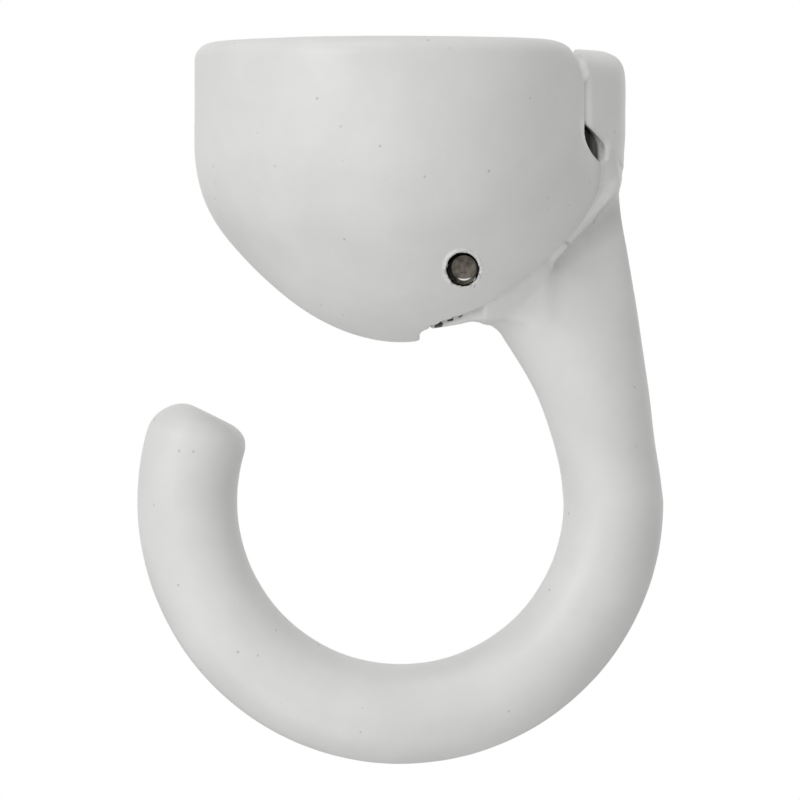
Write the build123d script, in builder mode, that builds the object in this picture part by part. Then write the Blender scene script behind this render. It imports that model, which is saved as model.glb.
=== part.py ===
from build123d import *
import math
import os

os.makedirs("parts", exist_ok=True)

# A ceiling utility hook in millimetres. The origin is the middle of the face that bears on the
# ceiling, +Z is up, and the mouth of the hook opens towards -X.

# The canopy's outside: a straight wall that turns into a flattened dome.
canopy_radius = 19.0
canopy_height = 27.6
canopy_wall = 9.2
rim_round = 1.6

# Where the dome passes, as shares of the radius and of the height below the wall.
dome_points = ((0.952, 0.286), (0.799, 0.534), (0.552, 0.777), (0.430, 0.867), (0.310, 0.928))

# The way in for the ceiling screw: a window in the wall, a channel behind it and a slot above.
window_half_width = 8.5
window_depth = 11.3
window_corner = 3.0
window_flare = 3.7
notch_depth = 3.2
plate_thickness = 3.0
channel_reach = 7.5
screw_slot_width = 6.0

# The pivot: a cross pin through the canopy's lower right.
pivot_across = 5.65
pivot_drop = 21.0
pin_radius = 1.4
pin_recess = 1.4
pin_chamfer = 0.2
pin_seat_gap = 0.01
pin_running_gap = 0.07
pin_mouth_radius = 1.5
pin_mouth_depth = 2.2

# The slot under the canopy, where the hook's root comes out, and the pocket above it.
slot_end_half_width = 6.2
slot_far_half_width = 4.2
slot_reach_left = 3.85
slot_reach_right = 8.15
slot_above_pivot = 1.6
slot_corner = 3.0
pocket_radius = 6.75
pocket_cover = 0.55

# Clearances between the two castings.
seat_gap = 0.3
window_gap = 0.25
slot_gap = 0.3

# The J of the hook, a round bar.
jaw_radius = 15.0
bar_radius = 4.63
jaw_drop = 42.2
tip_angle = 155.5
tip_round = 2.2

# The shank: ellipses from the J's level up to the neck behind the canopy. Each is a share of the
# way down from the neck, its inner edge, its outer edge and its half depth.
neck_drop = 11.0
shank_sections = (
    (0.00, 16.0, 20.30, 3.0),
    (0.16, 13.5, 20.60, 3.2),
    (0.34, 9.6, 21.35, 4.0),
    (0.51, 9.45, 22.15, 4.7),
    (0.66, 12.2, 22.85, 4.75),
    (0.83, 14.05, 23.50, 4.7),
    (0.92, 14.72, 23.95, 4.65),
)

# The heel, which fills the window and locks the screw in.
heel_top = 0.85
heel_corner = 3.0
heel_nose_round = 4.0
heel_sweep_gap = 0.8
heel_notch_gap = 0.3
sill_rib_half_width = 3.0
sill_rib_lap = 0.1
sill_rib_depth = 2.8
collar_half_depth = 4.0
collar_straight = 8.0
collar_drop = 16.2
collar_inset = 3.2
collar_bend_drop = 12.4
collar_bend_inset = 0.45

# The root of the hook, which turns on the pin.
hub_radius = 3.5
root_corner_drop = 5.35
root_under_pivot = 4.9
root_throat_across = 2.65
root_throat_drop = 4.5
root_neck_drop = 0.15
root_set_back = 0.9
root_corner_round = 4.0

pivot_x = pivot_across
pivot_z = -pivot_drop
jaw_z = -jaw_drop
bar_line_radius = jaw_radius + bar_radius
slot_left = pivot_x - slot_reach_left
slot_right = pivot_x + slot_reach_right
heel_half_width = window_half_width - window_gap
sweep_radius = math.hypot(canopy_radius - pivot_x, window_depth - pivot_drop) + heel_sweep_gap


def canopy_section(grow):
    """Half the canopy's section, grown outward by a clearance, with its face on the ceiling."""
    radius = canopy_radius + grow
    bottom = -canopy_height - grow
    rim = rim_round + grow
    dome = [(radius * across, -canopy_wall + (bottom + canopy_wall) * down) for across, down in dome_points]
    with BuildSketch(Plane.XZ) as section:
        with BuildLine():
            Line((0, 0), (radius - rim, 0))
            CenterArc((radius - rim, -rim), rim, 0, 90)
            Line((radius, -rim), (radius, -canopy_wall))
            Spline(
                (radius, -canopy_wall),
                *dome,
                (0, bottom),
                tangents=((0, -1), (-1, 0)),
            )
            Line((0, bottom), (0, 0))
        make_face()
    return section.sketch


def canopy_surface(drop):
    """The canopy's outer radius at a distance below the ceiling."""
    dome = canopy_section(0).edges().filter_by(GeomType.BSPLINE)[0]
    low, high = sorted((0.0, 1.0), key=lambda place: -dome.position_at(place).Z)
    for _ in range(40):
        middle = (low + high) / 2
        if dome.position_at(middle).Z > -drop:
            low = middle
        else:
            high = middle
    return dome.position_at(low).X


flank_at_pin = math.sqrt(canopy_surface(pivot_drop) ** 2 - pivot_x**2)

# A rib in the middle of the window's sill, as high as the heel's sweep lets it be.
with BuildPart() as sill_rib:
    add(canopy_section(0))
    revolve(axis=Axis.Z)
    with BuildSketch(Plane.XZ):
        with Locations((pivot_x, pivot_z)):
            Circle(sweep_radius + sill_rib_lap)
        with Locations((canopy_radius - sill_rib_depth, -window_depth)):
            Rectangle(canopy_radius, window_depth, align=(Align.MIN, Align.MIN), mode=Mode.INTERSECT)
    extrude(amount=sill_rib_half_width, both=True, mode=Mode.INTERSECT)

# The pocket is round about the pin, and the dome keeps its skin over it.
with BuildPart() as pocket:
    add(canopy_section(-pocket_cover))
    revolve(axis=Axis.Z)
    with BuildSketch(Plane.XZ):
        with Locations((pivot_x, pivot_z)):
            Circle(pocket_radius)
    extrude(amount=slot_end_half_width, both=True, mode=Mode.INTERSECT)


def slot_plan(gap, set_back, corner):
    """The slot under the dome seen from above, less a clearance: it narrows towards the shank."""
    with BuildSketch() as plan:
        Polygon(
            (slot_left + set_back, -slot_end_half_width + gap),
            (slot_right, -slot_far_half_width + gap),
            (slot_right, slot_far_half_width - gap),
            (slot_left + set_back, slot_end_half_width - gap),
            align=None,
        )
        fillet(plan.vertices().group_by(Axis.X)[0], radius=corner)
    return plan.sketch


# The canopy is a die casting: the dome, less the channel, the window, the slots and the pocket.
with BuildPart() as canopy:
    add(canopy_section(0))
    revolve(axis=Axis.Z)
    # The channel for the screw's head runs in from the right under the top plate.
    with BuildSketch(Plane.YZ.offset(-channel_reach)):
        with BuildLine():
            FilletPolyline(
                (-window_half_width, -plate_thickness),
                (-window_half_width, -window_depth),
                (window_half_width, -window_depth),
                (window_half_width, -plate_thickness),
                radius=window_corner,
            )
            Line((window_half_width, -plate_thickness), (-window_half_width, -plate_thickness))
        make_face()
    extrude(amount=channel_reach + 2 * canopy_radius, mode=Mode.SUBTRACT)
    # The window breaks through the rim, and its upper corners are rolled outward.
    with BuildSketch(Plane.YZ.offset(canopy_radius - notch_depth)):
        with BuildLine():
            flare_side = window_half_width + window_flare
            Polyline(
                (-window_half_width, -window_flare),
                (-window_half_width, -window_depth + window_corner),
                (window_half_width, -window_depth + window_corner),
                (window_half_width, -window_flare),
            )
            CenterArc((flare_side, -window_flare), window_flare, 90, 90)
            Polyline(
                (flare_side, 0),
                (flare_side, window_flare),
                (-flare_side, window_flare),
                (-flare_side, 0),
            )
            CenterArc((-flare_side, -window_flare), window_flare, 0, 90)
        make_face()
    extrude(amount=2 * canopy_radius, mode=Mode.SUBTRACT)
    add(sill_rib.part)
    # The screw's shank slides along this slot to the middle.
    with BuildSketch(Plane.XY.offset(-plate_thickness - window_gap)):
        Circle(screw_slot_width / 2)
        Rectangle(canopy_radius, screw_slot_width, align=(Align.MIN, Align.CENTER))
    extrude(amount=plate_thickness + 2 * window_gap, mode=Mode.SUBTRACT)
    # The root turns in the pocket and comes out through the slot under it.
    add(pocket.part, mode=Mode.SUBTRACT)
    with BuildSketch(Plane.XY.offset(pivot_z + slot_above_pivot)):
        add(slot_plan(0, 0, slot_corner))
    extrude(amount=-canopy_height, mode=Mode.SUBTRACT)
    # The pin's bore opens into a wider mouth on each flank.
    with BuildSketch(Plane.XZ):
        with Locations((pivot_x, pivot_z)):
            Circle(pin_radius + pin_seat_gap)
    extrude(amount=canopy_radius, both=True, mode=Mode.SUBTRACT)
    for side in (-1, 1):
        with BuildSketch(Plane.XZ.offset(side * (flank_at_pin - pin_mouth_depth))):
            with Locations((pivot_x, pivot_z)):
                Circle(pin_mouth_radius)
        extrude(amount=side * canopy_radius, mode=Mode.SUBTRACT)

# The space that the hook leaves for the canopy.
with BuildPart() as canopy_space:
    add(canopy_section(seat_gap))
    revolve(axis=Axis.Z)

# The heel's plan is a wedge whose sides touch the canopy's circle at the window's edges.
heel_side_x = math.sqrt(canopy_radius**2 - heel_half_width**2)
heel_apex = canopy_radius**2 / heel_side_x
heel_half_angle = math.atan2(heel_half_width, heel_apex - heel_side_x)
heel_nose = heel_apex - heel_nose_round * (1 / math.sin(heel_half_angle) - 1)
heel_back = canopy_radius - notch_depth + seat_gap


def heel_plan():
    """The heel seen from above, as a face on the ceiling plane."""
    with BuildSketch() as plan:
        Polygon(
            (heel_back, -heel_half_width),
            (heel_side_x, -heel_half_width),
            (heel_apex, 0),
            (heel_side_x, heel_half_width),
            (heel_back, heel_half_width),
            align=None,
        )
        fillet(plan.vertices().sort_by(Axis.X)[-1], radius=heel_nose_round)
    return plan.sketch


with BuildPart() as heel:
    with BuildSketch(Plane.XY.offset(-heel_top)):
        add(heel_plan())
    extrude(amount=-window_depth)
    with BuildSketch(Plane.XZ):
        with BuildLine():
            FilletPolyline(
                (heel_back - heel_corner, -heel_top),
                (heel_nose, -heel_top),
                (heel_nose, -heel_top - window_depth),
                radius=heel_corner,
            )
            Polyline(
                (heel_nose, -heel_top - window_depth),
                (heel_back - heel_corner, -heel_top - window_depth),
                (heel_back - heel_corner, -heel_top),
            )
        make_face()
    extrude(amount=canopy_radius, both=True, mode=Mode.INTERSECT)
    with BuildSketch(Plane.XZ):
        with Locations((pivot_x, pivot_z)):
            Circle(sweep_radius)
    extrude(amount=canopy_radius, both=True, mode=Mode.SUBTRACT)
    with BuildSketch(Plane.XZ):
        with Locations((pivot_x, pivot_z)):
            Circle(sweep_radius + sill_rib_lap + heel_notch_gap)
    extrude(amount=sill_rib_half_width + heel_notch_gap, both=True, mode=Mode.SUBTRACT)

# The collar carries the heel's nose down over the canopy's shoulder.
with BuildPart() as collar:
    with BuildSketch(Plane.XY.offset(-heel_top)):
        add(heel_plan())
    extrude(amount=-canopy_height)
    with BuildSketch(Plane.XZ):
        with BuildLine():
            FilletPolyline(
                (heel_back, -heel_top),
                (heel_nose, -heel_top),
                (heel_nose, -collar_straight),
                radius=heel_corner,
            )
            Spline(
                (heel_nose, -collar_straight),
                (heel_nose - collar_bend_inset, -collar_bend_drop),
                (heel_nose - collar_inset, -collar_drop),
                tangents=((0, -1), (-1, -1)),
            )
            Polyline(
                (heel_nose - collar_inset, -collar_drop),
                (heel_back, -collar_drop),
                (heel_back, -heel_top),
            )
        make_face()
    extrude(amount=collar_half_depth, both=True, mode=Mode.INTERSECT)

# The root: a hub on the pin and a neck out through the slot, as wide as the slot allows.
root_left = pivot_x - hub_radius
root_right = slot_right - slot_gap
with BuildPart() as root:
    with BuildSketch(Plane.XZ):
        with Locations((pivot_x, pivot_z)):
            Circle(hub_radius)
        Polygon(
            (root_left, pivot_z),
            (root_left, pivot_z - root_corner_drop),
            (pivot_x, pivot_z - root_under_pivot),
            (pivot_x + root_throat_across, pivot_z - root_throat_drop),
            (root_right, pivot_z - root_throat_drop),
            (root_right, pivot_z - root_neck_drop),
            (pivot_x + hub_radius / 2, pivot_z + hub_radius * math.sqrt(3) / 2),
            align=None,
        )
    extrude(amount=slot_end_half_width, both=True)
    with BuildSketch(Plane.XY.offset(pivot_z - pocket_radius)):
        add(slot_plan(slot_gap, root_set_back, root_corner_round))
    extrude(amount=2 * pocket_radius, mode=Mode.INTERSECT)

# The hook is one casting: the J, the shank, the collar, the heel and the root.
with BuildPart() as hook:
    with BuildSketch(Plane((bar_line_radius, 0, jaw_z))):
        Circle(bar_radius)
    with BuildLine(Plane.XZ):
        CenterArc((0, jaw_z), bar_line_radius, 0, tip_angle - 360)
    sweep()
    fillet(hook.faces().filter_by(GeomType.PLANE).sort_by(Axis.X)[0].edges(), radius=tip_round)
    for share, inner, outer, half_depth in shank_sections:
        level = -neck_drop - share * (jaw_drop - neck_drop)
        with BuildSketch(Plane.XY.offset(level)):
            with Locations(((inner + outer) / 2, 0)):
                Ellipse((outer - inner) / 2, half_depth)
    with BuildSketch(Plane.XY.offset(jaw_z)):
        with Locations((bar_line_radius, 0)):
            Ellipse(bar_radius, bar_radius)
    loft()
    add(collar.part)
    add(canopy_space.part, mode=Mode.SUBTRACT)
    add(heel.part)
    add(root.part)
    with BuildSketch(Plane.XZ):
        with Locations((pivot_x, pivot_z)):
            Circle(pin_radius + pin_running_gap)
    extrude(amount=canopy_radius, both=True, mode=Mode.SUBTRACT)

# The pivot pin is a plain steel cross pin, a little short of the canopy's flanks.
with BuildPart() as pivot_pin:
    pin_half_length = flank_at_pin - pin_recess
    with BuildSketch(Plane.XZ):
        with Locations((pivot_x, pivot_z)):
            Circle(pin_radius)
    extrude(amount=pin_half_length, both=True)
    chamfer(pivot_pin.edges().filter_by(GeomType.CIRCLE), length=pin_chamfer)

canopy.part.label = "canopy"
hook.part.label = "hook"
pivot_pin.part.label = "pivot_pin"
export_step(canopy.part, "parts/canopy.step")
export_step(hook.part, "parts/hook.step")
export_step(pivot_pin.part, "parts/pivot_pin.step")
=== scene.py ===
import math

import bmesh
import bpy
import numpy as np
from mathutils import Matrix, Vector, noise


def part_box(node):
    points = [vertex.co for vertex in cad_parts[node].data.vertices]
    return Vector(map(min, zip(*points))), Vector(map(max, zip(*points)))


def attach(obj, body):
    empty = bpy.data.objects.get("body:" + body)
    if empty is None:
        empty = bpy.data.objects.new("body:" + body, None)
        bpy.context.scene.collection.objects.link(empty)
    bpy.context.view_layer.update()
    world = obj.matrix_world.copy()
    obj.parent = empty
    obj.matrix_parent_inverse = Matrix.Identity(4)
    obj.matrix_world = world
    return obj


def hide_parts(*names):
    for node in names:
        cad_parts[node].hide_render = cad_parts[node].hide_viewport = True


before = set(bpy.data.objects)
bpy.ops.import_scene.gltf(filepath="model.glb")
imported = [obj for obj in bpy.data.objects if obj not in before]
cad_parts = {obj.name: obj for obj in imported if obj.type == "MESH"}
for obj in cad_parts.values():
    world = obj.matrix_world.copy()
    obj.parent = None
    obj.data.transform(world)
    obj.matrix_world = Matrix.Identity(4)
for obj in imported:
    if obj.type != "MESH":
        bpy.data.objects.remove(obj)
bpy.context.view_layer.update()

# The canopy is a die casting, dipped in thick off-white paint that rounds its edges.
# A screw's head slides in through the window on the right and along the channel to the middle,
# and the hook turns on the pin in the pocket below.
WALL = 19.0
WALL_FOOT = 9.2
RIM_ROUND = 1.7
RIM_X = (12.6, 13.8, 14.8, 15.5, 16.1, 16.6, 17.1, 19.0)
RIM_Z = (0.0, -0.10, -0.35, -0.75, -1.20, -1.75, -3.0, -9.0)
DOME_SERIES = (18.255, 0.366, 0.490, -0.027, -0.048, -0.037)
PLATE = 3.0
SCREW_HALF = 3.0
SCREW_EDGE = 0.25
WINDOW_HALF = 8.5
WINDOW_FOOT = 11.0
WINDOW_BACK = 15.8
WINDOW_EDGE = 0.45
FLARE = 3.7
CHANNEL_END = -7.5
CHANNEL_CORNER = 2.6
CHANNEL_EDGE = 0.30
CORNER_SPREAD = 2.0
PIN_X = 5.65
PIN_Z = -21.0
POCKET = 6.75
POCKET_COVER = 1.0
SLOT_NEAR_X = 1.8
SLOT_FAR_X = 13.8
SLOT_NEAR_HALF = 6.2
SLOT_CORNER = 3.0
SLOT_FAR_HALF = 4.2
SLOT_TOP = -19.4
HIDDEN_EDGE = 0.2
CHIPPED_X = (3.2, 6.6)
CHIPPED_DEPTH = (0.30, 0.08)
SWEEP = 17.31
RIB_LAP = 0.1
RIB_HALF = 3.0
RIB_BACK = 16.2
BORE = 1.41
MOUTH = 1.5
MOUTH_FLOOR = 7.9
MOUTH_EDGE = 0.10
MOUTH_RAGGED = 0.05
MOUTH_ROUGH = 0.03
FLANK = MOUTH_FLOOR + 1
LIP = 0.16
LIP_AWAY = 0.10
LIP_FILLET = 0.15

# The bead at the window, painted highlights on the chip by the pin, on a line round the window's corner
# and on the rim, and the coats.
WINDOW_BEAD_TOP = (16.10, -9.10, -1.45)
WINDOW_BEAD_BREAK = ((16.55, -8.90, -2.20), (16.72, -8.85, -2.55))
WINDOW_BEAD_FOOT = (16.92, -8.72, -3.20)
WINDOW_BEAD_THIN = 0.30
WINDOW_BEAD_THICK = 0.50
WINDOW_BEAD_BLEND = 0.7
WINDOW_BEAD_FILLET = 0.45
# How far the painted highlight on the window's bead reaches.
WINDOW_BEAD_HIGHLIGHT = 0.65
# Painted highlights: a spot on the chip by the pin and a line round the window's corner.
PIN_CHIP_HIGHLIGHT = ((6.35, 0, -19.85), (6.75, 0, -19.70))
PIN_CHIP_HIGHLIGHT_SIZE = 0.20
CORNER_HIGHLIGHT = ((16.60, 0, -7.4), (16.68, 0, -8.9), (17.25, 0, -9.95), (18.2, 0, -10.8))
CORNER_HIGHLIGHT_SIZE = 0.12
# The painted highlights fade out over this distance, and the rim's painted highlight grows towards the
# top.
HIGHLIGHT_FADE = 0.15
RIM_HIGHLIGHT = 0.6
RIM_HIGHLIGHT_FOOT = -1.4
RIM_HIGHLIGHT_FADE = 0.9
# Past this depth inside the openings the colour goes to bare metal, made near black as painted shade.
BARE_AND_SHADE_DEPTH = 0.7
PAINT_DEPTH = 0.035
SLOW_WAVE = 0.030
QUICK_WAVE = 0.010
PAINT_COLOUR = (0.80, 0.80, 0.785)
PAINT_SHADE = (0.74, 0.74, 0.725)
SPECK_COLOUR = (0.52, 0.51, 0.49)
SPECK_SHARE = 0.36
# How much the painted highlights lighten the paint, and the painted shade darkens it.
PAINTED_LIGHT_STRENGTH = 0.13
# The ragged edge of the dark inside, and bare cast metal made near black, partly painted shade.
BARE_AND_SHADE_RAGGED = 0.5
BARE_AND_SHADE_DARK = (0.025, 0.025, 0.025)
BARE_AND_SHADE_LIGHT = (0.085, 0.085, 0.087)

# How the castings' skins are made, from squares that are finer where the surface bends.
GRID = 0.42
ROUNDS = 6
LONGEST_PULL = 0.3
BEND_SPAN = 0.3
BEND_LEAST = 0.88
CANOPY_LOW = (-19.8, -19.8, -28.4)
CANOPY_HIGH = (19.8, 19.8, 0.8)


def meet(a, b, rounding):
    """Where two solids overlap, with the edge between them rounded."""
    over = np.hypot(np.maximum(a + rounding, 0), np.maximum(b + rounding, 0))
    return np.minimum(np.maximum(a, b), -rounding) + over


def join(a, b, fillet):
    """Two solids as one, with a fillet between them."""
    under = np.hypot(np.maximum(fillet - a, 0), np.maximum(fillet - b, 0))
    return np.maximum(np.minimum(a, b), fillet) - under


def outside_of_canopy(p):
    """The canopy without its openings: a straight wall over a dome."""
    reach = np.hypot(p[:, 0], p[:, 1])
    drop = -WALL_FOOT - p[:, 2]
    turn = np.arctan2(drop, reach)
    dome = np.hypot(reach, drop) - sum(c * np.cos(2 * k * turn) for k, c in enumerate(DOME_SERIES))
    top = p[:, 2] - np.interp(p[:, 0], RIM_X, RIM_Z)
    return meet(np.where(drop > 0, dome, reach - WALL), top, RIM_ROUND)


def pin_distance(p):
    """How far a point is from the pin's line."""
    return np.hypot(p[:, 0] - PIN_X, p[:, 2] - PIN_Z)


def slot_plan(x, side, gap, set_back, corner, far=SLOT_FAR_X):
    """The slot seen from above: it narrows towards the shank, and its near end is rounded."""
    taper = (x - SLOT_NEAR_X) / (SLOT_FAR_X - SLOT_NEAR_X)
    half = SLOT_NEAR_HALF - gap + taper * (SLOT_FAR_HALF - SLOT_NEAR_HALF)
    return np.maximum(meet(side - half, SLOT_NEAR_X + set_back - x, corner), x - far)


def capsule(p, start, end, radius):
    """A bead of paint between two points."""
    start, end = np.array(start), np.array(end)
    along = np.clip((p - start) @ (end - start) / ((end - start) @ (end - start)), 0, 1)
    return np.linalg.norm(p - start - along[:, None] * (end - start), axis=1) - radius


def chipping(p):
    """The ragged line of paint that broke at an edge."""
    x, y, z = p.T
    coarse = np.sin(3.1 * x + 1.3 * z) * np.sin(2.7 * y - 2.2 * z + 0.8)
    return coarse + 0.6 * np.sin(7.9 * x - 5.1 * z + 1.1) * np.sin(6.3 * y + 6.9 * z)


def canopy_form(p):
    """The canopy with its window, channel, slots, pocket and bore."""
    x, side, z = p[:, 0], np.abs(p[:, 1]), p[:, 2]
    form = outside_of_canopy(p)
    inner = WINDOW_HALF - CHANNEL_CORNER * CORNER_SPREAD
    low = CHANNEL_CORNER - WINDOW_FOOT
    spread = np.maximum(side - inner, 0) / CORNER_SPREAD
    corner = np.hypot(spread, np.maximum(low - z, 0)) - CHANNEL_CORNER
    channel = np.maximum(np.maximum(corner, side - WINDOW_HALF), np.maximum(CHANNEL_END - x, z + PLATE))
    form = meet(form, -channel, CHANNEL_EDGE)
    rise = np.clip(z + FLARE, 0, FLARE)
    half = WINDOW_HALF + FLARE - np.sqrt(FLARE**2 - rise**2)
    window = np.maximum(np.maximum(side - half, WINDOW_BACK - x), low - z)
    form = meet(form, -window, WINDOW_EDGE)
    rib = np.maximum(pin_distance(p) - SWEEP - RIB_LAP, np.maximum(side - RIB_HALF, RIB_BACK - x))
    form = np.minimum(form, np.maximum(rib, outside_of_canopy(p)))
    screw_slot = np.where(x > 0, side, np.hypot(x, side)) - SCREW_HALF
    form = meet(form, -np.maximum(screw_slot, -PLATE - SCREW_EDGE - z), SCREW_EDGE)
    pocket = np.maximum(pin_distance(p) - POCKET, side - SLOT_NEAR_HALF)
    pocket = np.maximum(pocket, outside_of_canopy(p) + POCKET_COVER)
    form = meet(form, -pocket, HIDDEN_EDGE)
    chips = np.interp(x, CHIPPED_X, CHIPPED_DEPTH) * chipping(p)
    slot = slot_plan(x, side - chips, 0, 0, SLOT_CORNER)
    form = meet(form, -np.maximum(slot, z - SLOT_TOP), HIDDEN_EDGE)
    thin = capsule(p, WINDOW_BEAD_TOP, WINDOW_BEAD_BREAK[0], WINDOW_BEAD_THIN)
    thick = capsule(p, WINDOW_BEAD_BREAK[1], WINDOW_BEAD_FOOT, WINDOW_BEAD_THICK)
    form = join(form, join(thin, thick, WINDOW_BEAD_BLEND), WINDOW_BEAD_FILLET)
    form = np.maximum(form, BORE - pin_distance(p))
    mouth = pin_distance(p) - MOUTH + MOUTH_RAGGED * chipping(p) + MOUTH_ROUGH * chipping(2.9 * p)
    lip = np.hypot(np.abs(mouth) - LIP_AWAY, outside_of_canopy(p)) - LIP
    form = join(form, lip, LIP_FILLET)
    return meet(form, -np.maximum(mouth, MOUTH_FLOOR - side), MOUTH_EDGE)


def slope_of(form, p):
    """The direction in which a form's value rises, and how fast."""
    step = 0.01
    least = 0.2
    slope = np.empty_like(p)
    for axis in range(3):
        ahead = p.copy()
        ahead[:, axis] += step
        behind = p.copy()
        behind[:, axis] -= step
        slope[:, axis] = (form(ahead) - form(behind)) / (2 * step)
    steepness = np.maximum(np.linalg.norm(slope, axis=1, keepdims=True), least)
    return slope / steepness, steepness[:, 0]


def skin(form, low, high):
    """Skins a form with squares: a point in each small cube that its surface passes through."""
    axes = [np.arange(a, b + GRID, GRID) for a, b in zip(low, high)]
    corners = np.stack(np.meshgrid(*axes, indexing="ij"), axis=-1).reshape(-1, 3)
    values = form(corners).reshape([len(a) for a in axes])
    inside = values < 0
    total = np.zeros((values.size, 3))
    count = np.zeros(values.size)
    squares = []
    for axis in range(3):
        near = [slice(None)] * 3
        far = [slice(None)] * 3
        near[axis] = slice(0, -1)
        far[axis] = slice(1, None)
        near, far = tuple(near), tuple(far)
        crossed = inside[near] != inside[far]
        at = np.argwhere(crossed)
        a, b = values[near][crossed], values[far][crossed]
        point = at.astype(float)
        point[:, axis] += a / (a - b)
        others = [k for k in range(3) if k != axis]
        ring = []
        for back in ((0, 0), (-1, 0), (-1, -1), (0, -1)):
            cell = at.copy()
            cell[:, others[0]] += back[0]
            cell[:, others[1]] += back[1]
            flat = np.ravel_multi_index(cell.T, values.shape)
            np.add.at(total, flat, point)
            np.add.at(count, flat, 1)
            ring.append(flat)
        ring = np.stack(ring, axis=1)
        flipped = inside[near][crossed] == (axis == 1)
        ring[flipped] = ring[flipped][:, ::-1]
        squares.append(ring)
    used = count > 0
    number = np.cumsum(used) - 1
    points = total[used] / count[used, None] * GRID + np.array([a[0] for a in axes])
    return points, number[np.concatenate(squares)]


def settle(form, p, links):
    """Spreads a skin's points evenly and pulls them onto the form."""
    count = np.bincount(links.ravel(), minlength=len(p))[:, None]
    for turn in range(ROUNDS + 2):
        direction, steepness = slope_of(form, p)
        p = p - direction * np.clip(form(p) / steepness, -LONGEST_PULL, LONGEST_PULL)[:, None]
        if turn < ROUNDS:
            middle = np.zeros_like(p)
            np.add.at(middle, links[:, 0], p[links[:, 1]])
            np.add.at(middle, links[:, 1], p[links[:, 0]])
            shift = middle / count - p
            shift -= direction * np.sum(shift * direction, axis=1, keepdims=True)
            p = p + 0.5 * shift
    return p


def mesh_points(bm):
    return np.array([v.co for v in bm.verts])


def mesh_links(bm):
    return np.array([[v.index for v in e.verts] for e in bm.edges])


def place_points(bm, p):
    for v, co in zip(bm.verts, p):
        v.co = co


def placed(name, data):
    """Puts a mesh, lamp or camera in the scene."""
    made = bpy.data.objects.new(name, data)
    bpy.context.scene.collection.objects.link(made)
    return made


def casting(name, form, low, high, fine, finer, paint_waves, bare_and_shaded, light_and_shade):
    """Makes a painted casting: a skin that is finer where fine() and finer() ask, with its paint on."""
    points, squares = skin(form, low, high)
    bm = bmesh.new()
    made = [bm.verts.new(co) for co in points]
    for square in squares:
        bm.faces.new([made[k] for k in square])
    for near in (fine, finer):
        bm.verts.index_update()
        p = settle(form, mesh_points(bm), mesh_links(bm))
        place_points(bm, p)
        direction, _ = slope_of(form, p)
        wanted = near(p, direction)
        chosen = [e for e in bm.edges if wanted[e.verts[0].index] or wanted[e.verts[1].index]]
        bmesh.ops.subdivide_edges(bm, edges=chosen, cuts=1, use_grid_fill=True)
        bm.verts.index_update()
    p = settle(form, mesh_points(bm), mesh_links(bm))
    # Near-black bare metal as painted shade inside, and painted highlights and shade, kept for the
    # shader.
    hidden = bare_and_shaded(p)
    thick = light_and_shade(p)
    direction, _ = slope_of(form, p)
    p = p - direction * paint_waves(p)[:, None]
    place_points(bm, p / 1000)
    for face in bm.faces:
        face.smooth = True
    bmesh.ops.recalc_face_normals(bm, faces=bm.faces)
    mesh = bpy.data.meshes.new(name)
    bm.to_mesh(mesh)
    bm.free()
    mesh.attributes.new("bare_and_shade_inside", "FLOAT", "POINT").data.foreach_set("value", hidden)
    mesh.attributes.new("painted_highlight_and_shade", "FLOAT", "POINT").data.foreach_set("value", thick)
    return placed(name, mesh)


def cloud(p, size, seed):
    """Soft noise between about -1 and 1, with lumps of a size in millimetres."""
    shift = Vector((seed, 3.7 * seed, -2.3 * seed))
    return np.array([noise.noise(Vector(co) / size + shift) for co in p])


def bends(form, p, direction):
    """Where the surface turns away within a short span."""
    across = np.cross(direction, (0.31, 0.87, 0.38))
    across /= np.linalg.norm(across, axis=1, keepdims=True)
    along = np.cross(direction, across)
    turned = np.zeros(len(p), dtype=bool)
    for way in (across, along):
        for span in (-BEND_SPAN, BEND_SPAN):
            other, _ = slope_of(form, p + span * way)
            turned |= np.sum(other * direction, axis=1) < BEND_LEAST
    return turned


def canopy_fine(p, direction):
    """The canopy's bends and the ground round the pin."""
    near_pin = pin_distance(p) < 3.4
    return bends(canopy_form, p, direction) | (near_pin & (np.abs(p[:, 1]) > MOUTH_FLOOR))


def canopy_finer(p, direction):
    """The pin's mouth in the front flank."""
    mouth = (np.abs(pin_distance(p) - MOUTH) < 0.8) & (np.abs(p[:, 1]) > FLANK)
    return mouth & (p[:, 1] < 0)


def waves(p, slow_seed, quick_seed):
    """Thick paint lies in slow waves with smaller ones on them."""
    return PAINT_DEPTH + SLOW_WAVE * cloud(p, 5.0, slow_seed) + QUICK_WAVE * cloud(p, 1.3, quick_seed)


def canopy_paint(p):
    return waves(p, 2.0, 5.0)


def bare_and_shade_inside(p):
    """The paint reaches a little way inside the openings, and no further; past it is bare metal, made
    near black as painted shade.
    """
    return np.clip(-outside_of_canopy(p) - BARE_AND_SHADE_DEPTH, 0, 1)


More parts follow.
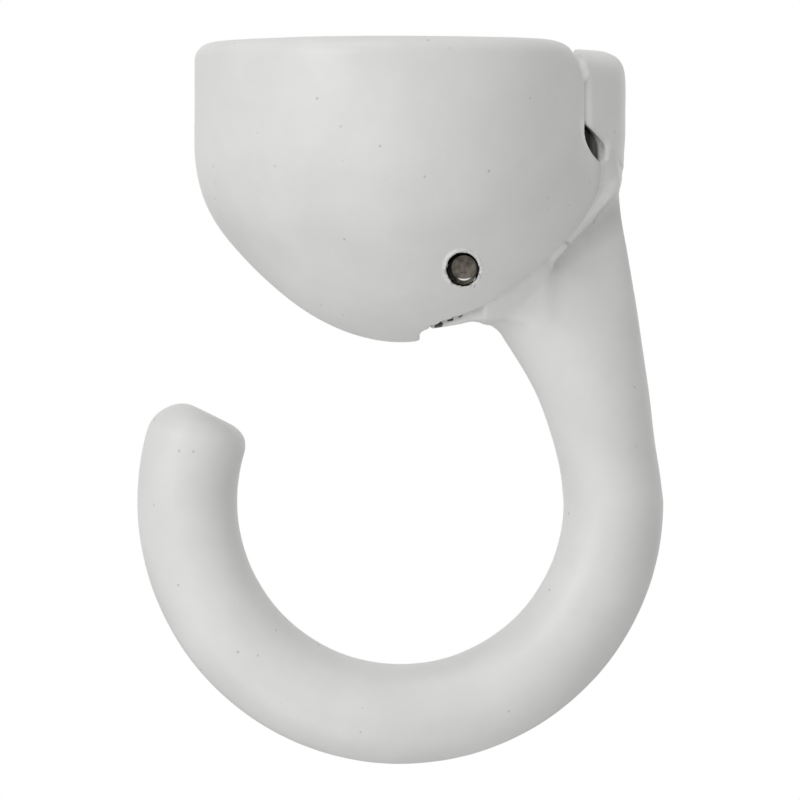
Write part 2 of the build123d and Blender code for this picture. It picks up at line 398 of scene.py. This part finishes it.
def canopy_highlights(p):
    """Painted highlights: the rim, the window's bead and corner, the chip by the pin, and around the
    pin's mouth.
    """
    bead = capsule(p, WINDOW_BEAD_TOP, WINDOW_BEAD_FOOT, WINDOW_BEAD_HIGHLIGHT)
    mouth = np.where(np.abs(p[:, 1]) > FLANK, np.abs(pin_distance(p) - MOUTH - 0.1) - 0.12, 1)
    flat = p * (1, 0, 1)
    # The painted highlight on the chip by the pin and along the window's corner line, on the front only.
    chip = capsule(flat, *PIN_CHIP_HIGHLIGHT, PIN_CHIP_HIGHLIGHT_SIZE)
    for start, end in zip(CORNER_HIGHLIGHT, CORNER_HIGHLIGHT[1:]):
        chip = np.minimum(chip, capsule(flat, start, end, CORNER_HIGHLIGHT_SIZE + 0.05 * chipping(3 * p)))
    chip = np.where(p[:, 1] < -3, chip, 1)
    highlighted = np.clip(1 - np.minimum(np.minimum(bead, mouth), chip) / HIGHLIGHT_FADE, 0, 1)
    return np.maximum(highlighted, RIM_HIGHLIGHT * np.clip((p[:, 2] - RIM_HIGHLIGHT_FOOT) / RIM_HIGHLIGHT_FADE, 0, 1))


canopy = casting("canopy_casting", canopy_form, CANOPY_LOW, CANOPY_HIGH,
                 canopy_fine, canopy_finer, canopy_paint, bare_and_shade_inside, canopy_highlights)


def plug(tree, socket, value):
    """Links a shader socket to another one, or gives it a value."""
    if isinstance(value, bpy.types.NodeSocket):
        tree.links.new(value, socket)
    else:
        socket.default_value = value


def node(tree, kind, **inputs):
    """Adds a shader node and fills in or links its inputs."""
    made = tree.nodes.new(kind)
    for key, value in inputs.items():
        name = key.replace("_", " ")
        if hasattr(made, key) and name not in made.inputs:
            setattr(made, key, value)
        else:
            plug(tree, made.inputs[name], value)
    return made


def lumps(tree, place, scale, detail, roughness):
    """Adds noise with lumps at several scales and gives its value."""
    kind = "ShaderNodeTexNoise"
    made = node(tree, kind, Vector=place, Scale=scale, Detail=detail, Roughness=roughness)
    return made.outputs["Fac"]


def worked_out(tree, operation, *values):
    """Adds a step of arithmetic and gives its result."""
    made = node(tree, "ShaderNodeMath", operation=operation)
    for socket, value in zip(made.inputs, values):
        plug(tree, socket, value)
    return made.outputs[0]


def spread_over(tree, value, **limits):
    """Spreads a value over another range and gives the result."""
    return node(tree, "ShaderNodeMapRange", Value=value, **limits).outputs["Result"]


def mixed(tree, share, first, second):
    """Mixes two colours and gives the result."""
    made = node(tree, "ShaderNodeMix", data_type="RGBA", blend_type="MIX", Factor=share)
    plug(tree, made.inputs[6], first)
    plug(tree, made.inputs[7], second)
    return made.outputs[2]


def shaded(tree, value, *stops):
    """Turns a value into a colour between two stops, and gives the colour."""
    made = node(tree, "ShaderNodeValToRGB", Fac=value)
    for element, (position, colour) in zip(made.color_ramp.elements, stops):
        element.position = position
        element.color = (*colour, 1)
    return made.outputs["Color"]


def blank_material(name):
    """Makes a material and gives it, its nodes and its shader."""
    material = bpy.data.materials.new(name)
    material.use_nodes = True
    return material, material.node_tree, material.node_tree.nodes["Principled BSDF"]


def painted(name):
    """Thick semi-gloss paint, mottled, with pits and a few dark specks, lighter at painted highlights
    and darker at painted shade, over bare metal inside made near black as painted shade.
    """
    material, tree, gloss = blank_material(name)
    place = node(tree, "ShaderNodeTexCoord").outputs["Object"]
    mottle = lumps(tree, place, scale=150.0, detail=4.0, roughness=0.55)
    tone = shaded(tree, mottle, (0.30, PAINT_SHADE), (0.72, PAINT_COLOUR))
    specks = node(tree, "ShaderNodeTexVoronoi", Vector=place, Scale=525.0)
    spots = spread_over(tree, specks.outputs["Distance"], From_Min=0.025, From_Max=0.090)
    draw = node(tree, "ShaderNodeSeparateColor", Color=specks.outputs["Color"]).outputs["Red"]
    clear = worked_out(tree, "MAXIMUM", spots, worked_out(tree, "GREATER_THAN", draw, SPECK_SHARE))
    smudge = lumps(tree, place, scale=55.0, detail=2.0, roughness=0.5)
    smudged = spread_over(tree, smudge, From_Min=0.35, From_Max=0.65, To_Min=0.975, To_Max=1.0)
    # Painted highlights lighten the paint and painted shade darkens it.
    thick = node(tree, "ShaderNodeAttribute", attribute_name="painted_highlight_and_shade").outputs["Fac"]
    lighter = worked_out(tree, "MULTIPLY_ADD", thick, PAINTED_LIGHT_STRENGTH, smudged)
    uneven = node(tree, "ShaderNodeHueSaturation", Color=tone, Value=lighter).outputs["Color"]
    dotted = mixed(tree, clear, (*SPECK_COLOUR, 1), uneven)
    # Inside, and in dashes along the root's gap, bare metal made near black as painted shade.
    hidden = node(tree, "ShaderNodeAttribute", attribute_name="bare_and_shade_inside").outputs["Fac"]
    edge = worked_out(tree, "MULTIPLY_ADD", mottle, BARE_AND_SHADE_RAGGED, hidden)
    bare_and_shade_share = spread_over(tree, edge, From_Min=0.45, From_Max=0.90)
    grain = lumps(tree, place, scale=700.0, detail=4.0, roughness=0.6)
    metal = shaded(tree, grain, (0.35, BARE_AND_SHADE_DARK), (0.70, BARE_AND_SHADE_LIGHT))
    plug(tree, gloss.inputs["Base Color"], mixed(tree, bare_and_shade_share, dotted, metal))
    plug(tree, gloss.inputs["Roughness"], spread_over(tree, mottle, To_Min=0.34, To_Max=0.46))
    peel = lumps(tree, place, scale=900.0, detail=3.0, roughness=0.6)
    pits = node(tree, "ShaderNodeBump", Height=clear, Strength=0.4, Distance=0.00006).outputs["Normal"]
    rough_skin = node(tree, "ShaderNodeBump", Height=peel, Strength=0.25, Distance=0.00008, Normal=pits)
    plug(tree, gloss.inputs["Normal"], rough_skin.outputs["Normal"])
    gloss.inputs["Specular IOR Level"].default_value = 0.45
    return material


canopy.data.materials.append(painted("canopy_coat"))
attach(canopy, "canopy")
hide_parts("canopy")

# The hook is one casting in the same paint: the J, the shank, the collar that hugs the dome,
# the heel that fills the window and the root that turns on the pin.
# It hangs on the pin and its shank rests against the dome, so the load keeps the heel shut.
HOOK_LOW = (-25.0, -9.0, -67.4)
HOOK_HIGH = (25.0, 9.0, 0.0)
JAW_Z = -42.2
BAR_LINE = 19.63
BAR = 4.63
TIP_SLOPE = (0.438, 0.899)
TIP_SET_BACK = 0.44
TIP_ROUND_AT = (15.5, 23.5)
TIP_ROUND = (1.9, 3.9)
NECK_Z = -11.0

# The shank in rows: the share of the way down, its inner and outer side, and half its depth.
SHANK = np.array((
    (0.00, 16.0, 20.00, 1.5),
    (0.16, 12.5, 20.35, 1.7),
    (0.26, 10.6, 20.90, 2.4),
    (0.36, 8.9, 21.42, 3.6),
    (0.465, 8.5, 21.95, 4.5),
    (0.51, 9.25, 22.15, 4.65),
    (0.585, 10.75, 22.50, 4.75),
    (0.66, 12.1, 22.85, 4.75),
    (0.83, 14.05, 23.50, 4.7),
    (0.92, 14.72, 23.95, 4.65),
    (1.00, 15.0, 24.26, 4.63),
))
SHANK_BACK = ((4.0, 8.6, 9.8, 10.9, 12.0, 13.0, 14.1, 16.3, 19.6, 24.0),
              (20.85, 20.80, 20.65, 20.55, 20.48, 20.45, 20.35, 20.6, 21.15, 22.0))
HEEL_DRIP = ((18.86, -4.85, -9.9), (18.82, -4.75, -10.75))
HEEL_DRIP_SIZE = 0.34
HEEL_DRIP_FILLET = 0.5
# How far the painted highlight on the drip reaches.
HEEL_DRIP_HIGHLIGHT = 0.5
HEEL_TOP = -0.68
HEEL_TOP_ROUND = 3.2
HEEL_FOOT = -12.15
HEEL_HALF = 8.38
HEEL_BACK = 15.87
HEEL_NOSE_ROUND = 1.4
HEEL_EDGE = 0.5
HEEL_BACK_EDGE = 0.3
HEEL_SWEEP_EDGE = 0.35
HEEL_FILLET = 0.05
HEEL_FILLET_DEEPER = 0.6
HEEL_PROUD = 0.22
NOTCH_GAP = 0.3
SEAT = -0.40
SEAT_EDGE = 0.05
CLEAR_LAP = 0.02
SLOT_GAP = 0.25
HUB = 3.5
HUB_BORE = BORE + 0.06
ROOT_OUTLINE = ((2.15, -21.0), (2.15, -26.5), (5.0, -26.0), (7.3, -25.52), (8.5, -25.5), (13.5, -25.5),
                (13.5, -21.15), (7.4, -17.97))
ROOT_SET_BACK = 0.9
ROOT_CORNER = 4.0
ROOT_EDGE = 0.35
ROOT_FILLET = 1.5
COLLAR_NEAR_X = 14.0
COLLAR_TOP = -7.5
COLLAR_DROPS = (10.5, 12.0, 13.2, 14.5, 16.5, 19.0)
COLLAR_HALF = (4.7, 3.6, 2.6, 2.6, 3.5, 4.4)
COLLAR_EDGE = (20.4, -13.2)
COLLAR_FOOT = (0.75, -0.66)
COLLAR_SIDE_ROUND = 1.2
COLLAR_FOOT_ROUND = 0.9
COLLAR_BACK_ROUND = 0.5

# The bead of paint along the seam and the crease over it, at several drops below the ceiling.
BEAD_NEAR_X = 8.3
BEAD_TOP = -11.5
BEAD_DROPS = (12.0, 14.0, 16.5, 17.4, 18.4, 20.2, 21.2, 23.0, 25.0, 27.0)
BEAD_PROUD = (0.50, 0.55, 0.60, 0.35, 0.05, 0.05, 0.40, 0.50, 0.50, 0.40)
BEAD_HALF = (2.3, 2.3, 2.8, 3.4, 3.8, 4.3, 4.5, 4.9, 5.3, 5.4)
BEAD_EDGE = 0.3
NECK_FILLET = 0.3
CREASE = 0.35
CREASE_SKIN = 0.12
CREASE_RAGGED = 0.05
CREASE_REACH = (0.25, 0.0, 0.0, 0.25)
CREASE_DROPS = (15.5, 17.5, 20.5, 22.0)

# Painted shade in dashes along the gap at the root's near edge, painted highlights on the heel and
# collar, and painted shade below the collar.
GAP_SHADE_END = ((2.3, 0, -26.45), (3.7, 0, -25.95))
GAP_SHADE_END_SIZE = 0.32
GAP_SHADE_LINE = ((3.7, 0, -25.8), (5.9, 0, -24.93))
GAP_SHADE_LINE_SIZE = 0.17
# Painted shade below the collar's foot.
UNDER_COLLAR_SHADE_LINE = ((19.4, 0, -15.9), (17.0, 0, -17.7), (13.9, 0, -20.4))
UNDER_COLLAR_SHADE_LOW_SIZE = -0.5
UNDER_COLLAR_SHADE_FADE = 2.0
UNDER_COLLAR_SHADE = 1.6
# Painted highlights on the heel's top, nose and sides and on the collar's foot.
HOOK_HIGHLIGHT_FADE = 0.5
HEEL_HIGHLIGHT = 0.9
HEEL_HIGHLIGHT_FOOT = -2.5
NOSE_HIGHLIGHT = 0.35
NOSE_HIGHLIGHT_FOOT = -14.5
SIDE_HIGHLIGHT = 0.25
FOOT_HIGHLIGHT = 0.25
FOOT_HIGHLIGHT_IN = 0.45
FOOT_HIGHLIGHT_Z = (-18.0, -15.0, -11.5, -10.0)
FOOT_HIGHLIGHT_OFF = (1.0, 0.0, 0.0, 1.0)
NOWHERE = 9


def smooth_through(knots, values, at):
    """A smooth curve through values at knots."""
    slopes = np.gradient(values, knots)
    k = np.clip(np.searchsorted(knots, at) - 1, 0, len(knots) - 2)
    gap = knots[k + 1] - knots[k]
    t = np.clip((at - knots[k]) / gap, 0, 1)
    rise = (3 - 2 * t) * t * t
    return (values[k] * (1 - rise) + values[k + 1] * rise
            + gap * (slopes[k] * t * (1 - t) ** 2 - slopes[k + 1] * t * t * (1 - t)))


def shank_form(p):
    """The shank, an oval bar that widens up to the seam and narrows again under the heel."""
    share = (NECK_Z - p[:, 2]) / (NECK_Z - JAW_Z)
    inner, outer, half = (smooth_through(SHANK[:, 0], SHANK[:, k], share) for k in (1, 2, 3))
    wide = (outer - inner) / 2
    reach = np.hypot((p[:, 0] - (inner + outer) / 2) / wide, p[:, 1] / half)
    form = (reach - 1) * np.minimum(wide, half)
    return np.maximum(form, np.maximum(p[:, 2] - NECK_Z, JAW_Z - p[:, 2]))


def jaw_form(p):
    """The J, a round bar that ends on the left in a slanted face."""
    x, z = p[:, 0], p[:, 2] - JAW_Z
    from_middle = np.hypot(x, z)
    bar = np.hypot(from_middle - BAR_LINE, p[:, 1]) - BAR
    end = TIP_SLOPE[0] * x + TIP_SLOPE[1] * z + TIP_SET_BACK
    tip = meet(bar, end, np.interp(from_middle, TIP_ROUND_AT, TIP_ROUND))
    return np.where(x < 0, tip, np.maximum(bar, z))


def outline_form(p, outline):
    """How far a point is from a flat outline, seen from the front, and less than nothing inside it."""
    at = p[:, (0, 2)]
    nearest = np.full(len(p), 1e9)
    inside = np.zeros(len(p), dtype=bool)
    for a, b in zip(outline, outline[1:] + outline[:1]):
        a, b = np.array(a), np.array(b)
        along = np.clip((at - a) @ (b - a) / ((b - a) @ (b - a)), 0, 1)
        nearest = np.minimum(nearest, np.linalg.norm(at - a - along[:, None] * (b - a), axis=1))
        spans = (a[1] > at[:, 1]) != (b[1] > at[:, 1])
        slant = (b[0] - a[0]) / (b[1] - a[1] + 1e-12)
        inside ^= spans & (at[:, 0] < a[0] + slant * (at[:, 1] - a[1]))
    return np.where(inside, -nearest, nearest)


def shank_back(z):
    """How far right the back of the collar and heel stands at a height."""
    return np.interp(-z, SHANK_BACK[0], SHANK_BACK[1])


def collar_foot(x, z):
    """How far a point is past the collar's slanted lower edge."""
    return COLLAR_FOOT[0] * (x - COLLAR_EDGE[0]) + COLLAR_FOOT[1] * (z - COLLAR_EDGE[1])


def heel_plan(x, y):
    """The heel's nose seen from above: two flats that meet in a rounded edge."""
    tangent = math.sqrt(WALL**2 - HEEL_HALF**2)
    left = (tangent * x + HEEL_HALF * y) / WALL - WALL - HEEL_PROUD
    right = (tangent * x - HEEL_HALF * y) / WALL - WALL - HEEL_PROUD
    return meet(left, right, HEEL_NOSE_ROUND)


def neck_form(p, plan, shell):
    """The shank with the collar and the bead that close the seam on the dome."""
    x, side, z = p[:, 0], np.abs(p[:, 1]), p[:, 2]
    collar = meet(plan, side - np.interp(-z, COLLAR_DROPS, COLLAR_HALF), COLLAR_SIDE_ROUND)
    foot = meet(collar_foot(x, z), x - shank_back(z), COLLAR_BACK_ROUND)
    collar = meet(collar, foot, COLLAR_FOOT_ROUND)
    collar = np.maximum(collar, np.maximum(COLLAR_NEAR_X - x, z - COLLAR_TOP))
    neck = join(shank_form(p), collar, NECK_FILLET)
    off_side = side - np.interp(-z, BEAD_DROPS, BEAD_HALF)
    bead = meet(shell - np.interp(-z, BEAD_DROPS, BEAD_PROUD), off_side, BEAD_EDGE)
    bead = np.maximum(bead, np.maximum(BEAD_NEAR_X - x, z - BEAD_TOP))
    neck = join(neck, bead, NECK_FILLET)
    reach = np.interp(-z, CREASE_DROPS, CREASE_REACH) + CREASE_RAGGED * chipping(1.3 * p)
    neck = np.maximum(join(neck, shell - CREASE_SKIN, CREASE), neck - np.maximum(reach, 0))
    return meet(neck, SEAT - shell, SEAT_EDGE)


def heel_form(p, plan):
    """The heel, rounded over the top, cut to an arc about the pin and notched for the sill's rib."""
    x, side, z = p[:, 0], np.abs(p[:, 1]), p[:, 2]
    heel = meet(plan, z - HEEL_TOP, HEEL_TOP_ROUND)
    heel = meet(heel, side - HEEL_HALF, HEEL_EDGE)
    heel = meet(heel, x - shank_back(z), HEEL_EDGE)
    heel = meet(heel, HEEL_BACK - x, HEEL_BACK_EDGE)
    heel = np.maximum(heel, HEEL_FOOT - z)
    heel = meet(heel, SWEEP - pin_distance(p), HEEL_SWEEP_EDGE)
    notch = np.maximum(pin_distance(p) - SWEEP - RIB_LAP - NOTCH_GAP, side - RIB_HALF - NOTCH_GAP)
    return np.maximum(heel, -notch)


def hook_form(p):
    """The J, shank, collar, heel and root as one casting."""
    x, side = p[:, 0], np.abs(p[:, 1])
    shell = outside_of_canopy(p)
    plan = heel_plan(x, p[:, 1])
    depth = np.clip(-plan, 0, 2)
    slot = slot_plan(x, side, SLOT_GAP, ROOT_SET_BACK, ROOT_CORNER)
    longer_slot = slot_plan(x, side, SLOT_GAP, ROOT_SET_BACK, ROOT_CORNER, SLOT_FAR_X + 1)
    root = np.minimum(outline_form(p, ROOT_OUTLINE), pin_distance(p) - HUB)
    root = meet(root, longer_slot, ROOT_EDGE)
    form = join(neck_form(p, plan, shell), heel_form(p, plan), HEEL_FILLET + HEEL_FILLET_DEEPER * depth)
    form = join(form, root, ROOT_FILLET)
    form = np.minimum(form, jaw_form(p))
    kept_clear = np.minimum(SEAT - shell, slot) - CLEAR_LAP
    form = np.where(x < HEEL_BACK - 0.5, np.maximum(form, kept_clear), form)
    form = join(form, capsule(p, *HEEL_DRIP, HEEL_DRIP_SIZE), HEEL_DRIP_FILLET)
    return np.maximum(form, HUB_BORE - pin_distance(p))


def hook_fine(p, direction):
    """The hook's bends."""
    return bends(hook_form, p, direction)


def hook_finer(p, direction):
    """No part of the hook needs squares finer still, and its points settle once more."""
    return np.zeros(len(p), dtype=bool)


def hook_paint(p):
    return waves(p, 7.0, 9.0)


def hook_bare_and_shaded(p):
    """Bare inside the canopy, made near black as painted shade, and painted shade in dashes along the
    gap at the root's near edge.
    """
    flat = p * (1, 0, 1)
    # Painted shade in dashes along the gap at the root's near edge.
    gap_shade = np.minimum(capsule(flat, *GAP_SHADE_END, GAP_SHADE_END_SIZE),
                        capsule(flat, *GAP_SHADE_LINE, GAP_SHADE_LINE_SIZE))
    gaps = np.sin(5.3 * p[:, 0] + 1.9) + 0.55
    gap_shade = np.where((p[:, 1] < -1.5) & (gaps > 0), np.clip(-gap_shade / 0.06, 0, 1), 0)
    return np.maximum(bare_and_shade_inside(p), gap_shade)


def hook_highlights_and_shade(p):
    """Painted highlights on the heel's top, nose and sides, the collar's foot and the drip, and painted
    shade below the collar.
    """
    x, z = p[:, 0], p[:, 2]
    nose = np.where(z > NOSE_HIGHLIGHT_FOOT, shank_back(z) - x - NOSE_HIGHLIGHT, NOWHERE)
    foot = np.abs(collar_foot(x, z) + FOOT_HIGHLIGHT_IN) - FOOT_HIGHLIGHT
    foot = np.where(shank_form(p) > 0.1, foot, NOWHERE)
    foot += np.interp(z, FOOT_HIGHLIGHT_Z, FOOT_HIGHLIGHT_OFF)
    drip = capsule(p, *HEEL_DRIP, HEEL_DRIP_HIGHLIGHT)
    on_side = (z < -3.2) & (z > -9.0) & (x > 16.4)
    edge = np.where(on_side, HEEL_HALF - SIDE_HIGHLIGHT - np.abs(p[:, 1]), NOWHERE)
    nose = np.minimum(nose, edge)
    flat = p * (1, 0, 1)
    # Painted shade below the collar's foot, on the shank.
    under_collar_shade = np.minimum(capsule(flat, *UNDER_COLLAR_SHADE_LINE[:2], 0),
                       capsule(flat, *UNDER_COLLAR_SHADE_LINE[1:], UNDER_COLLAR_SHADE_LOW_SIZE))
    under_collar_shade = np.where(shank_form(p) < 0.3, np.clip(1 - under_collar_shade / UNDER_COLLAR_SHADE_FADE, 0, 1), 0)
    highlighted = np.clip(1 - np.minimum(np.minimum(nose, foot), drip) / HOOK_HIGHLIGHT_FADE, 0, 1)
    return np.maximum(highlighted, HEEL_HIGHLIGHT * np.clip(z - HEEL_HIGHLIGHT_FOOT, 0, 1)) - UNDER_COLLAR_SHADE * under_collar_shade


hook = casting("hook_casting", hook_form, HOOK_LOW, HOOK_HIGH,
               hook_fine, hook_finer, hook_paint, hook_bare_and_shaded, hook_highlights_and_shade)
hook.data.materials.append(painted("hook_coat"))
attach(hook, "hook")
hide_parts("hook")

# The cross pin is bare steel, cut from bar and pushed in after painting, dull and a little rusty.
# Its ends stop short of the canopy's flanks, and are cropped a little off its line.
# A burr on its front end is coloured near white, a painted glint.
PIN = 1.4
PIN_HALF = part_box("pivot_pin")[1][1] * 1000
PIN_SIDES = 64
END_X = 0.13
END_Z = 0.12

# Each ring: its share of the half length, its radius, and how far it is off the line.
PIN_RINGS = ((-1, 1.13, END_X, END_Z), (-0.985, 1.24, 0.09, 0.08), (-0.955, PIN, 0, 0),
             (0.955, PIN, 0, 0), (0.985, 1.24, 0.09, 0.08), (1, 1.13, END_X, END_Z))
BURR_LINE = 1.07
BURR_PROUD = 0.02
BURR_THICK = 0.09
BURR_FROM = -118
BURR_TURN = 60
BURR_STEPS = 16
BURR_SIDES = 8
STEEL_DARK = (0.055, 0.048, 0.038)
STEEL_LIGHT = (0.24, 0.22, 0.19)
# The burr's near-white colour is a painted glint.
GLINT_COLOUR = (0.95, 0.95, 0.94)


def tube(bm, rings):
    """Closes rings of points into a tube with flat ends."""
    for a, b in zip(rings, rings[1:]):
        for k in range(len(a)):
            after = (k + 1) % len(a)
            bm.faces.new((a[k], a[after], b[after], b[k]))
    bm.faces.new(rings[0])
    bm.faces.new(rings[-1])


bm = bmesh.new()
rings = []
for level, radius, dx, dz in PIN_RINGS:
    ring = []
    for k in range(PIN_SIDES):
        turn = 2 * math.pi * k / PIN_SIDES
        ring.append(bm.verts.new(((PIN_X + dx + radius * math.cos(turn)) / 1000, level * PIN_HALF / 1000,
                                  (PIN_Z + dz + radius * math.sin(turn)) / 1000)))
    rings.append(ring)
tube(bm, rings)
plain_points = len(bm.verts)
burr = []
for k in range(BURR_STEPS + 1):
    turn = math.radians(BURR_FROM + BURR_TURN * k / BURR_STEPS)
    thick = BURR_THICK * math.sin(math.pi * (k + 0.8) / (BURR_STEPS + 1.6)) ** 0.5
    spot = (PIN_X + END_X + BURR_LINE * math.cos(turn), -PIN_HALF - BURR_PROUD,
            PIN_Z + END_Z + BURR_LINE * math.sin(turn))
    out = (math.cos(turn), 0, math.sin(turn))
    ring = []
    for j in range(BURR_SIDES):
        lean = 2 * math.pi * j / BURR_SIDES
        ring.append(bm.verts.new([(s + thick * (math.cos(lean) * o + math.sin(lean) * d)) / 1000
                                  for s, o, d in zip(spot, out, (0, 1, 0))]))
    burr.append(ring)
tube(bm, burr)
bmesh.ops.recalc_face_normals(bm, faces=bm.faces)
pin_mesh = bpy.data.meshes.new("cross_pin")
bm.to_mesh(pin_mesh)
bm.free()
# The burr's points carry the painted glint.
painted_glint = [0.0] * plain_points + [1.0] * (len(pin_mesh.vertices) - plain_points)
pin_mesh.attributes.new("painted_glint", "FLOAT", "POINT").data.foreach_set("value", painted_glint)
pin = placed("cross_pin", pin_mesh)
steel, tree, gloss = blank_material("dull_steel")
gloss.inputs["Metallic"].default_value = 0.9
place = node(tree, "ShaderNodeTexCoord").outputs["Object"]
stain = lumps(tree, place, scale=1400.0, detail=5.0, roughness=0.65)
tone = shaded(tree, stain, (0.35, STEEL_DARK), (0.68, STEEL_LIGHT))
# The painted glint on the burr.
glint_share = node(tree, "ShaderNodeAttribute", attribute_name="painted_glint").outputs["Fac"]
plug(tree, gloss.inputs["Base Color"], mixed(tree, glint_share, tone, (*GLINT_COLOUR, 1)))
plug(tree, gloss.inputs["Roughness"], spread_over(tree, stain, To_Min=0.35, To_Max=0.65))
dents = node(tree, "ShaderNodeBump", Height=stain, Strength=0.5, Distance=0.00008)
plug(tree, gloss.inputs["Normal"], dents.outputs["Normal"])
pin.data.materials.append(steel)
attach(pin, "canopy")
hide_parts("pivot_pin")

# A plain pale studio: a white surround, a floor far below the hanging hook, a large soft lamp
# on the left, and weaker ones in front, below and above.
FLOOR_Z = -2.0
FLOOR_HALF = 14.0
MIDDLE = (0, 0, -0.033)
world = bpy.data.worlds.new("white_surround")
bpy.context.scene.world = world
world.use_nodes = True
tree = world.node_tree
backdrop = tree.nodes["Background"]
backdrop.inputs["Color"].default_value = (1, 1, 1, 1)
rays = node(tree, "ShaderNodeLightPath").outputs
seen = worked_out(tree, "MAXIMUM", rays["Is Camera Ray"], rays["Is Glossy Ray"])
seen = worked_out(tree, "MAXIMUM", seen, rays["Is Transmission Ray"])
plug(tree, backdrop.inputs["Strength"], spread_over(tree, seen, To_Min=0.50, To_Max=1.0))
floor_mesh = bpy.data.meshes.new("studio_floor")
floor_mesh.from_pydata([(-FLOOR_HALF, -FLOOR_HALF, FLOOR_Z), (FLOOR_HALF, -FLOOR_HALF, FLOOR_Z),
                        (FLOOR_HALF, FLOOR_HALF, FLOOR_Z), (-FLOOR_HALF, FLOOR_HALF, FLOOR_Z)],
                       [], [(0, 1, 2, 3)])
floor = placed("studio_floor", floor_mesh)
pale, _, gloss = blank_material("pale_floor")
gloss.inputs["Base Color"].default_value = (0.92, 0.92, 0.92, 1)
gloss.inputs["Roughness"].default_value = 0.9
floor.data.materials.append(pale)


def lamp(name, place, size, watts):
    """Hangs a round soft lamp that faces the hook's middle."""
    light = bpy.data.lights.new(name, "AREA")
    light.shape = "DISK"
    light.size = size
    light.energy = watts
    made = placed(name, light)
    made.location = place
    made.rotation_euler = (Vector(MIDDLE) - Vector(place)).to_track_quat("-Z", "Y").to_euler()


lamp("key_softbox", (-0.50, -0.60, 0.25), 0.50, 1.85)
lamp("front_fill", (-0.10, -0.90, -0.25), 0.60, 0.5)
lamp("low_fill", (-0.25, -0.38, -0.55), 0.50, 0.9)
lamp("top_fill", (-0.20, -0.25, 0.60), 0.30, 0.5)

# The camera stands level with the hook's middle, in front of it, with a long lens
# that frames it as the photograph does.
camera_data = bpy.data.cameras.new("camera")
camera_data.lens = 415.3
camera_data.sensor_width = 36.0
camera_data.clip_start = 0.05
camera = placed("camera", camera_data)
camera.location = (-0.00004, -0.850, -0.0329)
camera.rotation_euler = (math.pi / 2, 0, 0)
bpy.context.scene.camera = camera
bpy.context.scene.view_settings.view_transform = "Standard"
